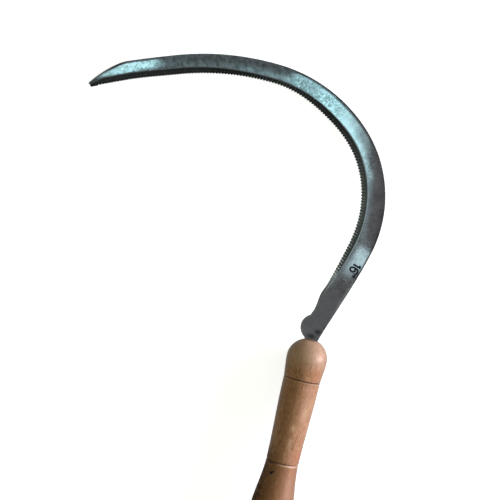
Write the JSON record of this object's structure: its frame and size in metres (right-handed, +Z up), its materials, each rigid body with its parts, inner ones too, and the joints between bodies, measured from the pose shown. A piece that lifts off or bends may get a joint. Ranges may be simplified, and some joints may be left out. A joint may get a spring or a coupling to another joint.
{
  "type": "sickle",
  "caption": "Hand sickle for reaping: a toothed crescent blade with a heel lobe and a bevelled inner edge, its tang riveted through a turned wooden handle.",
  "frame": {"origin": "on the ground, under the middle of the lying tool's bounding box", "axes": "+Z up; the handle runs along Y with the blade's end towards +Y, and the blade's point is at -X"},
  "size_m": [0.2506, 0.3586, 0.0412],
  "materials": {
    "blade_steel": "forged grey steel with mill scale, rubbed bright in places",
    "handle_wood": "turned hardwood, aged and oiled, with burnt ring",
    "washer_steel": "plain dull steel"
  },
  "bodies": {
    "root": {"blade": "blade_steel", "handle": "handle_wood", "tang_washer": "washer_steel"}
  },
  "joints": []
}
